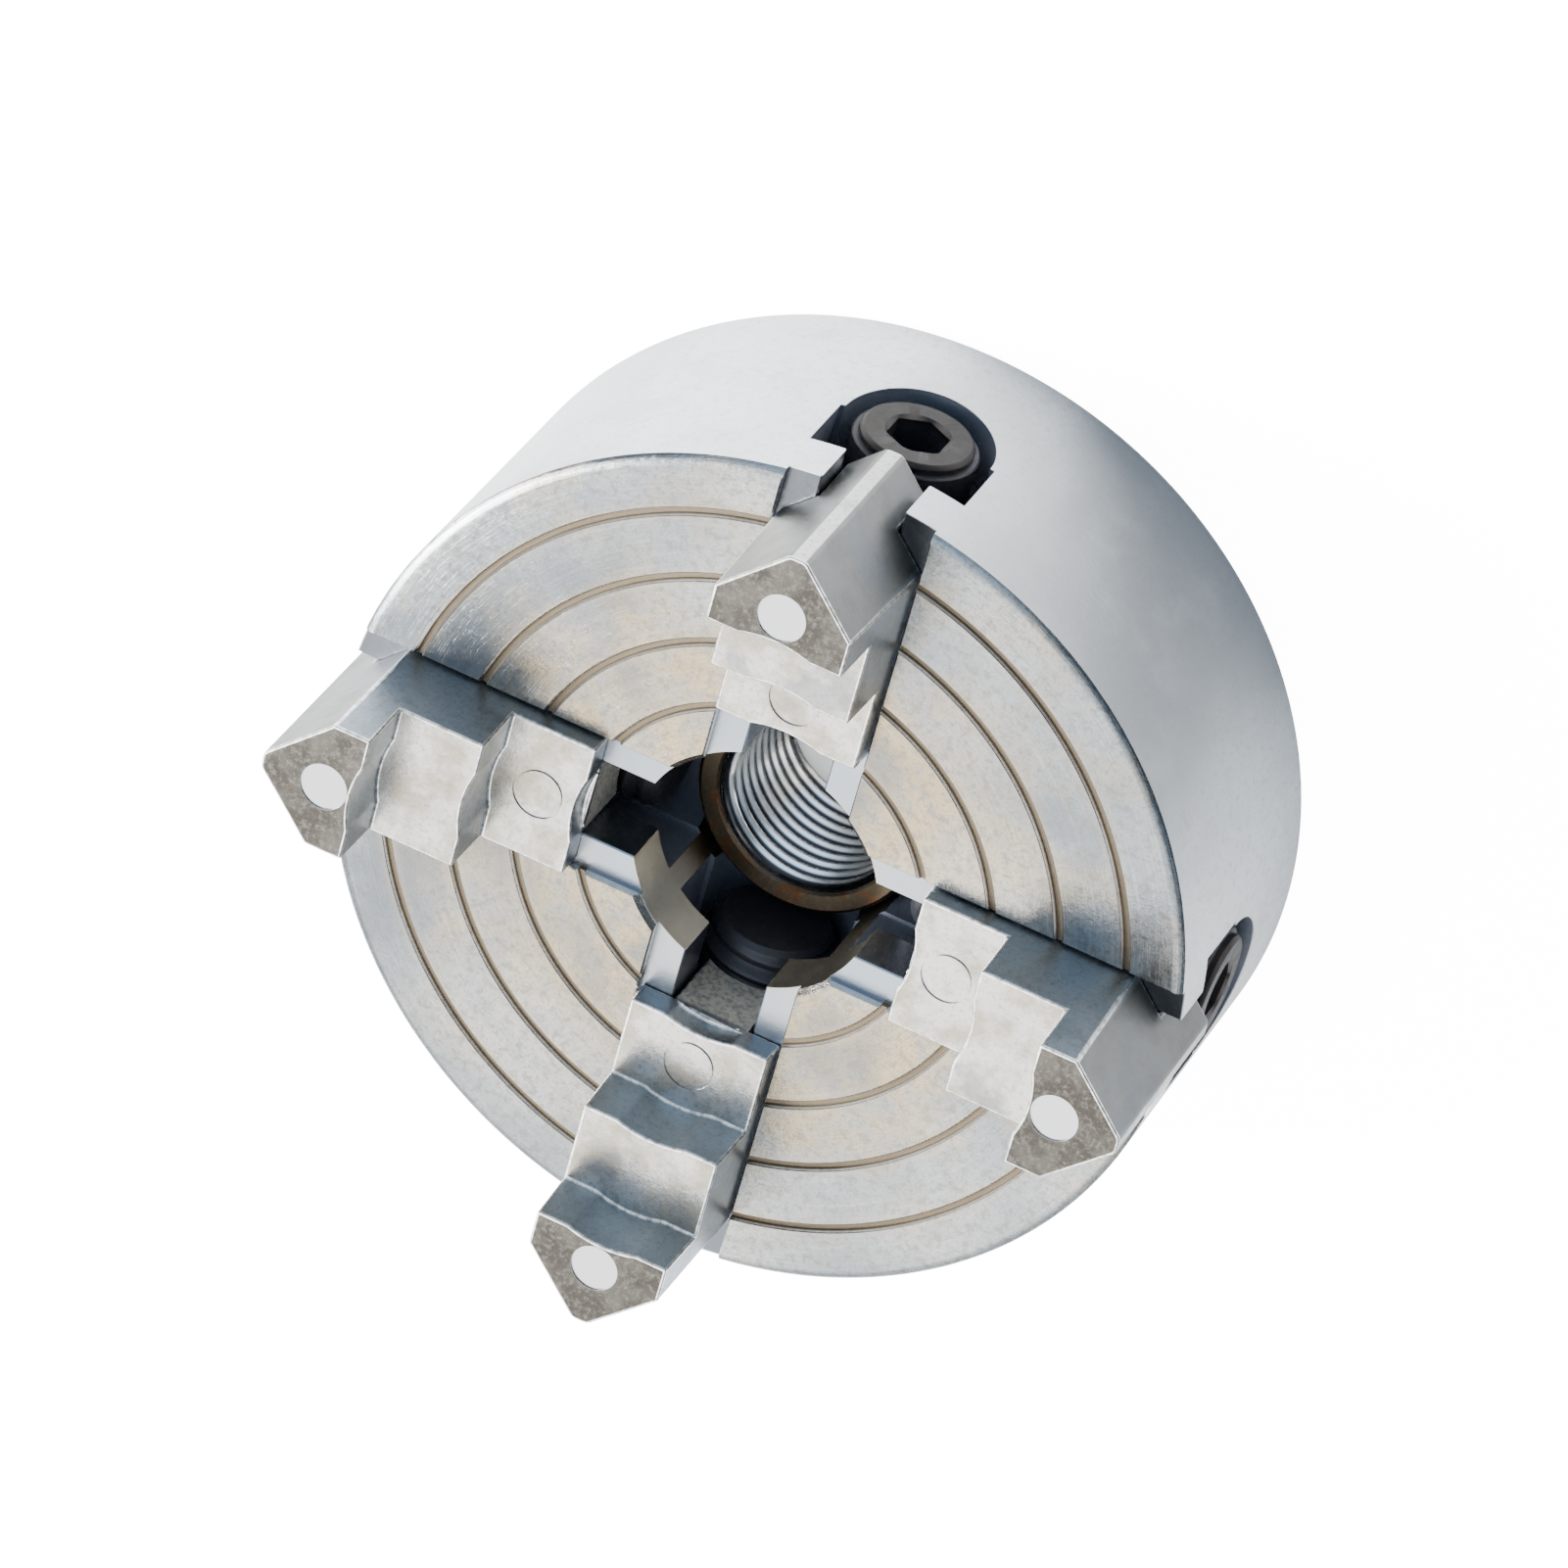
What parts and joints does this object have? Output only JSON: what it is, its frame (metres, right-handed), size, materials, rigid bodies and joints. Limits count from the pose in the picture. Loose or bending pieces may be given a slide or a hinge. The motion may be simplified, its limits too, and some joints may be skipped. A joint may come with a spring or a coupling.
{
  "type": "lathe chuck",
  "caption": "Small independent lathe chuck with stepped jaws in radial T slots, each moved by its own hex-socket screw, on a threaded spindle hub.",
  "frame": {"origin": "centre of the back face, which seats on the spindle's shoulder", "axes": "+Z along the chuck axis, away from the spindle and towards the jaws; jaws 1 to 4 lie on +X, +Y, -X and -Y"},
  "size_m": [0.0666, 0.0666, 0.0361],
  "materials": {
    "cast_body": "cast zinc alloy, face turned and sides polished",
    "cast_jaw": "cast zinc alloy, satin with bright worn edges",
    "black_steel": "black oxide",
    "black_screw": "black oxide, rubbed on the ends",
    "hub_steel": "turned steel with a bright thread",
    "pin_steel": "ground"
  },
  "bodies": {
    "body": {"body": "cast_body", "back_plate": "black_steel", "spindle_hub": "hub_steel", "hub_pin_1": "pin_steel", "hub_pin_2": "pin_steel", "screw_fork_1": "black_steel", "screw_fork_2": "black_steel", "screw_fork_3": "black_steel", "screw_fork_4": "black_steel", "plate_screw_1": "black_screw", "plate_screw_2": "black_screw", "plate_screw_3": "black_screw", "plate_screw_4": "black_screw"},
    "jaw_1": {"jaw_1": "cast_jaw"},
    "jaw_2": {"jaw_2": "cast_jaw"},
    "jaw_3": {"jaw_3": "cast_jaw"},
    "jaw_4": {"jaw_4": "cast_jaw"},
    "jaw_screw_1": {"jaw_screw_1": "black_screw"},
    "jaw_screw_2": {"jaw_screw_2": "black_screw"},
    "jaw_screw_3": {"jaw_screw_3": "black_screw"},
    "jaw_screw_4": {"jaw_screw_4": "black_screw"}
  },
  "joints": [
    {"name": "screw_turn_1", "type": "hinge", "parent": "body", "child": "jaw_screw_1", "pos_m": [0.02, 0, 0.0136], "axis": [1, 0, 0], "range_deg": [-1680, 1920]},
    {"name": "screw_turn_2", "type": "hinge", "parent": "body", "child": "jaw_screw_2", "pos_m": [0, 0.02, 0.0136], "axis": [0, 1, 0], "range_deg": [-1680, 1920]},
    {"name": "screw_turn_3", "type": "hinge", "parent": "body", "child": "jaw_screw_3", "pos_m": [-0.02, 0, 0.0136], "axis": [-1, 0, 0], "range_deg": [-1680, 1920]},
    {"name": "screw_turn_4", "type": "hinge", "parent": "body", "child": "jaw_screw_4", "pos_m": [0, -0.02, 0.0136], "axis": [0, -1, 0], "range_deg": [-1680, 1920]},
    {"name": "jaw_slide_1", "type": "slide", "parent": "body", "child": "jaw_1", "axis": [1, 0, 0], "range_m": [-0.00701, 0.00801]},
    {"name": "jaw_slide_2", "type": "slide", "parent": "body", "child": "jaw_2", "axis": [0, 1, 0], "range_m": [-0.00701, 0.00801]},
    {"name": "jaw_slide_3", "type": "slide", "parent": "body", "child": "jaw_3", "axis": [-1, 0, 0], "range_m": [-0.00701, 0.00801]},
    {"name": "jaw_slide_4", "type": "slide", "parent": "body", "child": "jaw_4", "axis": [0, -1, 0], "range_m": [-0.00701, 0.00801]}
  ],
  "couplings": [
    {"joint": "jaw_slide_1", "follows": "screw_turn_1", "m_per_rad": 0.00023873},
    {"joint": "jaw_slide_2", "follows": "screw_turn_2", "m_per_rad": 0.00023873},
    {"joint": "jaw_slide_3", "follows": "screw_turn_3", "m_per_rad": 0.00023873},
    {"joint": "jaw_slide_4", "follows": "screw_turn_4", "m_per_rad": 0.00023873}
  ]
}
